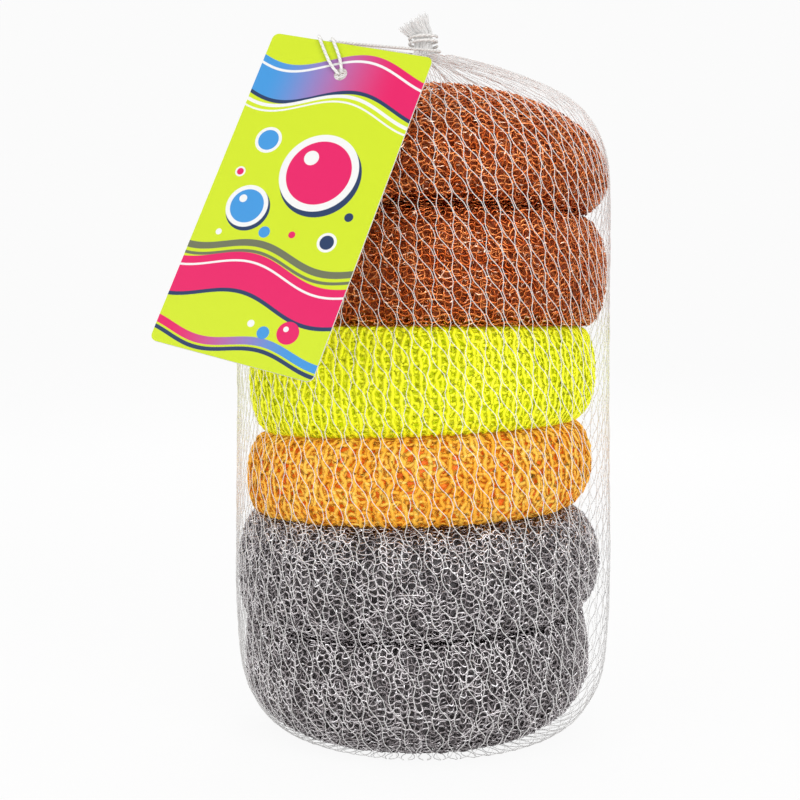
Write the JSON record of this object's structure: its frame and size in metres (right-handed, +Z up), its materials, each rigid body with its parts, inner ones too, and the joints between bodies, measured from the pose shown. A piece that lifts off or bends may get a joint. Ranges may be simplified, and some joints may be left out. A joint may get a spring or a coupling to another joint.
{
  "type": "pot scourer pack",
  "caption": "Stack of round knitted pot scourers, steel, plastic and copper, in a white net sleeve with a card hang tag on a string.",
  "frame": {"origin": "middle of the flat base, on the axis of the net sleeve", "axes": "+Z up along the stack of scourers, +X to the right as seen from the side that shows the tag, +Y to the back"},
  "size_m": [0.1045, 0.109, 0.176],
  "materials": {
    "steel_knit": "bright knitted flat wire",
    "orange_knit": "satin knitted plastic ribbon",
    "lime_knit": "satin fluorescent knitted plastic ribbon",
    "copper_knit": "bright knitted flat copper-coated wire",
    "steel_wire": "drawn wire",
    "white_net": "fine knitted polyester net",
    "white_string": "twisted thread",
    "printed_card": "coated print"
  },
  "bodies": {
    "pack": {"steel_scourer_lower": "steel_knit", "steel_scourer_upper": "steel_knit", "orange_scourer": "orange_knit", "lime_scourer": "lime_knit", "copper_scourer_lower": "copper_knit", "copper_scourer_upper": "copper_knit", "steel_scourer_lower_tie": "steel_wire", "steel_scourer_upper_tie": "steel_wire", "orange_scourer_tie": "steel_wire", "lime_scourer_tie": "steel_wire", "copper_scourer_lower_tie": "steel_wire", "copper_scourer_upper_tie": "steel_wire", "net_sleeve": "white_net", "neck_binding": "white_string", "base_binding": "white_string"},
    "string": {"tag_string": "white_string"},
    "hitch": {"tag_hitch": "white_string"},
    "tag": {"tag_card": "printed_card"}
  },
  "joints": [
    {"name": "string_turn", "type": "hinge", "parent": "pack", "child": "string", "pos_m": [0, 0, 0.1653], "axis": [0, 0, 1], "continuous": true},
    {"name": "tag_flap", "type": "hinge", "parent": "string", "child": "hitch", "pos_m": [-0.02147, -0.03195, 0.16118], "axis": [-0.8998, 0.3784, 0.2174], "range_deg": [0, 60]},
    {"name": "tag_swing", "type": "hinge", "parent": "hitch", "child": "tag", "pos_m": [-0.01845, -0.03717, 0.15304], "axis": [-0.2846, -0.8865, 0.3649], "range_deg": [0, 60]}
  ]
}
